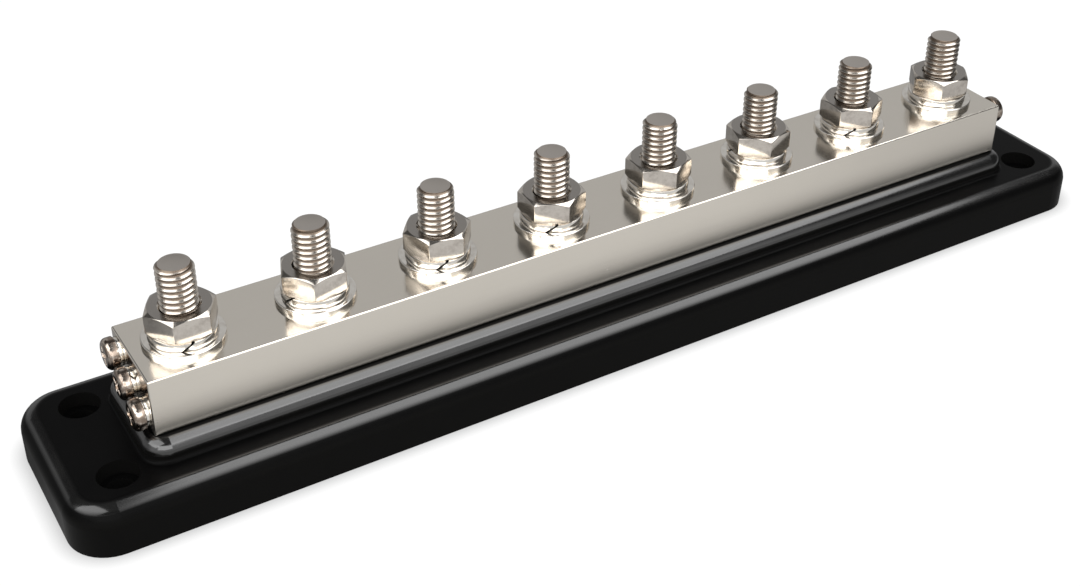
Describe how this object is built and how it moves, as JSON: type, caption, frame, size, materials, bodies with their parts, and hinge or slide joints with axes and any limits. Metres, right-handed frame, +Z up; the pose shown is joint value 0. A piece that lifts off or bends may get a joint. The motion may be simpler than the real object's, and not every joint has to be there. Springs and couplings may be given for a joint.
{
  "type": "bus bar",
  "caption": "Plated copper bus bar with a row of upright threaded studs, nuts and washers, on a moulded insulating base with counterbored mounting holes.",
  "frame": {"origin": "middle of the underside of the base", "axes": "+X along the bar towards its right end, +Z up along the studs, the picture is taken from the -Y side"},
  "size_m": [0.318, 0.055, 0.0556],
  "materials": {
    "base_plastic": "black moulded plastic, satin with a fine grain",
    "bar_plating": "bright plating over copper, faintly brushed along its length",
    "fastener_steel": "bright stainless steel, turned and rolled threads",
    "washer_steel": "bright stainless steel, stamped"
  },
  "bodies": {
    "bar_and_base": {"base": "base_plastic", "bus_bar": "bar_plating", "stud_1": "fastener_steel", "stud_2": "fastener_steel", "stud_3": "fastener_steel", "stud_4": "fastener_steel", "stud_5": "fastener_steel", "stud_6": "fastener_steel", "stud_7": "fastener_steel", "stud_8": "fastener_steel", "flat_washer_1": "washer_steel", "flat_washer_2": "washer_steel", "flat_washer_3": "washer_steel", "flat_washer_4": "washer_steel", "flat_washer_5": "washer_steel", "flat_washer_6": "washer_steel", "flat_washer_7": "washer_steel", "flat_washer_8": "washer_steel", "hold_down_screw_1": "fastener_steel", "hold_down_screw_2": "fastener_steel"},
    "lock_washer_1": {"lock_washer_1": "washer_steel"},
    "hex_nut_1": {"hex_nut_1": "fastener_steel"},
    "lock_washer_2": {"lock_washer_2": "washer_steel"},
    "hex_nut_2": {"hex_nut_2": "fastener_steel"},
    "lock_washer_3": {"lock_washer_3": "washer_steel"},
    "hex_nut_3": {"hex_nut_3": "fastener_steel"},
    "lock_washer_4": {"lock_washer_4": "washer_steel"},
    "hex_nut_4": {"hex_nut_4": "fastener_steel"},
    "lock_washer_5": {"lock_washer_5": "washer_steel"},
    "hex_nut_5": {"hex_nut_5": "fastener_steel"},
    "lock_washer_6": {"lock_washer_6": "washer_steel"},
    "hex_nut_6": {"hex_nut_6": "fastener_steel"},
    "lock_washer_7": {"lock_washer_7": "washer_steel"},
    "hex_nut_7": {"hex_nut_7": "fastener_steel"},
    "lock_washer_8": {"lock_washer_8": "washer_steel"},
    "hex_nut_8": {"hex_nut_8": "fastener_steel"},
    "end_lock_washer_left_1": {"end_lock_washer_left_1": "washer_steel"},
    "end_screw_left_1": {"end_screw_left_1": "fastener_steel"},
    "end_lock_washer_left_2": {"end_lock_washer_left_2": "washer_steel"},
    "end_screw_left_2": {"end_screw_left_2": "fastener_steel"},
    "end_lock_washer_left_3": {"end_lock_washer_left_3": "washer_steel"},
    "end_screw_left_3": {"end_screw_left_3": "fastener_steel"},
    "end_lock_washer_right_1": {"end_lock_washer_right_1": "washer_steel"},
    "end_screw_right_1": {"end_screw_right_1": "fastener_steel"},
    "end_lock_washer_right_2": {"end_lock_washer_right_2": "washer_steel"},
    "end_screw_right_2": {"end_screw_right_2": "fastener_steel"},
    "end_lock_washer_right_3": {"end_lock_washer_right_3": "washer_steel"},
    "end_screw_right_3": {"end_screw_right_3": "fastener_steel"}
  },
  "joints": [
    {"name": "lock_washer_1_lift", "type": "slide", "parent": "bar_and_base", "child": "lock_washer_1", "axis": [0, 0, 1], "range_m": [0, 0.01112]},
    {"name": "hex_nut_1_turn", "type": "hinge", "parent": "lock_washer_1", "child": "hex_nut_1", "pos_m": [-0.1204, 0, 0.0409], "axis": [0, 0, 1], "range_deg": [0, 2520]},
    {"name": "lock_washer_2_lift", "type": "slide", "parent": "bar_and_base", "child": "lock_washer_2", "axis": [0, 0, 1], "range_m": [0, 0.01112]},
    {"name": "hex_nut_2_turn", "type": "hinge", "parent": "lock_washer_2", "child": "hex_nut_2", "pos_m": [-0.086, 0, 0.0409], "axis": [0, 0, 1], "range_deg": [0, 2520]},
    {"name": "lock_washer_3_lift", "type": "slide", "parent": "bar_and_base", "child": "lock_washer_3", "axis": [0, 0, 1], "range_m": [0, 0.01112]},
    {"name": "hex_nut_3_turn", "type": "hinge", "parent": "lock_washer_3", "child": "hex_nut_3", "pos_m": [-0.0516, 0, 0.0409], "axis": [0, 0, 1], "range_deg": [0, 2520]},
    {"name": "lock_washer_4_lift", "type": "slide", "parent": "bar_and_base", "child": "lock_washer_4", "axis": [0, 0, 1], "range_m": [0, 0.01112]},
    {"name": "hex_nut_4_turn", "type": "hinge", "parent": "lock_washer_4", "child": "hex_nut_4", "pos_m": [-0.0172, 0, 0.0409], "axis": [0, 0, 1], "range_deg": [0, 2520]},
    {"name": "lock_washer_5_lift", "type": "slide", "parent": "bar_and_base", "child": "lock_washer_5", "axis": [0, 0, 1], "range_m": [0, 0.01112]},
    {"name": "hex_nut_5_turn", "type": "hinge", "parent": "lock_washer_5", "child": "hex_nut_5", "pos_m": [0.0172, 0, 0.0409], "axis": [0, 0, 1], "range_deg": [0, 2520]},
    {"name": "lock_washer_6_lift", "type": "slide", "parent": "bar_and_base", "child": "lock_washer_6", "axis": [0, 0, 1], "range_m": [0, 0.01112]},
    {"name": "hex_nut_6_turn", "type": "hinge", "parent": "lock_washer_6", "child": "hex_nut_6", "pos_m": [0.0516, 0, 0.0409], "axis": [0, 0, 1], "range_deg": [0, 2520]},
    {"name": "lock_washer_7_lift", "type": "slide", "parent": "bar_and_base", "child": "lock_washer_7", "axis": [0, 0, 1], "range_m": [0, 0.01112]},
    {"name": "hex_nut_7_turn", "type": "hinge", "parent": "lock_washer_7", "child": "hex_nut_7", "pos_m": [0.086, 0, 0.0409], "axis": [0, 0, 1], "range_deg": [0, 2520]},
    {"name": "lock_washer_8_lift", "type": "slide", "parent": "bar_and_base", "child": "lock_washer_8", "axis": [0, 0, 1], "range_m": [0, 0.01112]},
    {"name": "hex_nut_8_turn", "type": "hinge", "parent": "lock_washer_8", "child": "hex_nut_8", "pos_m": [0.1204, 0, 0.0409], "axis": [0, 0, 1], "range_deg": [0, 2520]},
    {"name": "end_lock_washer_left_1_lift", "type": "slide", "parent": "bar_and_base", "child": "end_lock_washer_left_1", "axis": [-1, 0, 0], "range_m": [0, 0.00397]},
    {"name": "end_screw_left_1_turn", "type": "hinge", "parent": "end_lock_washer_left_1", "child": "end_screw_left_1", "pos_m": [-0.1352, 0.0082, 0.0301], "axis": [-1, 0, 0], "range_deg": [0, 1800]},
    {"name": "end_lock_washer_left_2_lift", "type": "slide", "parent": "bar_and_base", "child": "end_lock_washer_left_2", "axis": [-1, 0, 0], "range_m": [0, 0.00397]},
    {"name": "end_screw_left_2_turn", "type": "hinge", "parent": "end_lock_washer_left_2", "child": "end_screw_left_2", "pos_m": [-0.1352, 0, 0.0264], "axis": [-1, 0, 0], "range_deg": [0, 1800]},
    {"name": "end_lock_washer_left_3_lift", "type": "slide", "parent": "bar_and_base", "child": "end_lock_washer_left_3", "axis": [-1, 0, 0], "range_m": [0, 0.00397]},
    {"name": "end_screw_left_3_turn", "type": "hinge", "parent": "end_lock_washer_left_3", "child": "end_screw_left_3", "pos_m": [-0.1352, -0.0082, 0.0227], "axis": [-1, 0, 0], "range_deg": [0, 1800]},
    {"name": "end_lock_washer_right_1_lift", "type": "slide", "parent": "bar_and_base", "child": "end_lock_washer_right_1", "axis": [1, 0, 0], "range_m": [0, 0.00397]},
    {"name": "end_screw_right_1_turn", "type": "hinge", "parent": "end_lock_washer_right_1", "child": "end_screw_right_1", "pos_m": [0.1352, -0.0082, 0.0301], "axis": [1, 0, 0], "range_deg": [0, 1800]},
    {"name": "end_lock_washer_right_2_lift", "type": "slide", "parent": "bar_and_base", "child": "end_lock_washer_right_2", "axis": [1, 0, 0], "range_m": [0, 0.00397]},
    {"name": "end_screw_right_2_turn", "type": "hinge", "parent": "end_lock_washer_right_2", "child": "end_screw_right_2", "pos_m": [0.1352, 0, 0.0264], "axis": [1, 0, 0], "range_deg": [0, 1800]},
    {"name": "end_lock_washer_right_3_lift", "type": "slide", "parent": "bar_and_base", "child": "end_lock_washer_right_3", "axis": [1, 0, 0], "range_m": [0, 0.00397]},
    {"name": "end_screw_right_3_turn", "type": "hinge", "parent": "end_lock_washer_right_3", "child": "end_screw_right_3", "pos_m": [0.1352, 0.0082, 0.0227], "axis": [1, 0, 0], "range_deg": [0, 1800]}
  ],
  "couplings": [
    {"joint": "lock_washer_1_lift", "follows": "hex_nut_1_turn", "m_per_rad": 0.00025266},
    {"joint": "lock_washer_2_lift", "follows": "hex_nut_2_turn", "m_per_rad": 0.00025266},
    {"joint": "lock_washer_3_lift", "follows": "hex_nut_3_turn", "m_per_rad": 0.00025266},
    {"joint": "lock_washer_4_lift", "follows": "hex_nut_4_turn", "m_per_rad": 0.00025266},
    {"joint": "lock_washer_5_lift", "follows": "hex_nut_5_turn", "m_per_rad": 0.00025266},
    {"joint": "lock_washer_6_lift", "follows": "hex_nut_6_turn", "m_per_rad": 0.00025266},
    {"joint": "lock_washer_7_lift", "follows": "hex_nut_7_turn", "m_per_rad": 0.00025266},
    {"joint": "lock_washer_8_lift", "follows": "hex_nut_8_turn", "m_per_rad": 0.00025266},
    {"joint": "end_lock_washer_left_1_lift", "follows": "end_screw_left_1_turn", "m_per_rad": 0.00012633},
    {"joint": "end_lock_washer_left_2_lift", "follows": "end_screw_left_2_turn", "m_per_rad": 0.00012633},
    {"joint": "end_lock_washer_left_3_lift", "follows": "end_screw_left_3_turn", "m_per_rad": 0.00012633},
    {"joint": "end_lock_washer_right_1_lift", "follows": "end_screw_right_1_turn", "m_per_rad": 0.00012633},
    {"joint": "end_lock_washer_right_2_lift", "follows": "end_screw_right_2_turn", "m_per_rad": 0.00012633},
    {"joint": "end_lock_washer_right_3_lift", "follows": "end_screw_right_3_turn", "m_per_rad": 0.00012633}
  ]
}
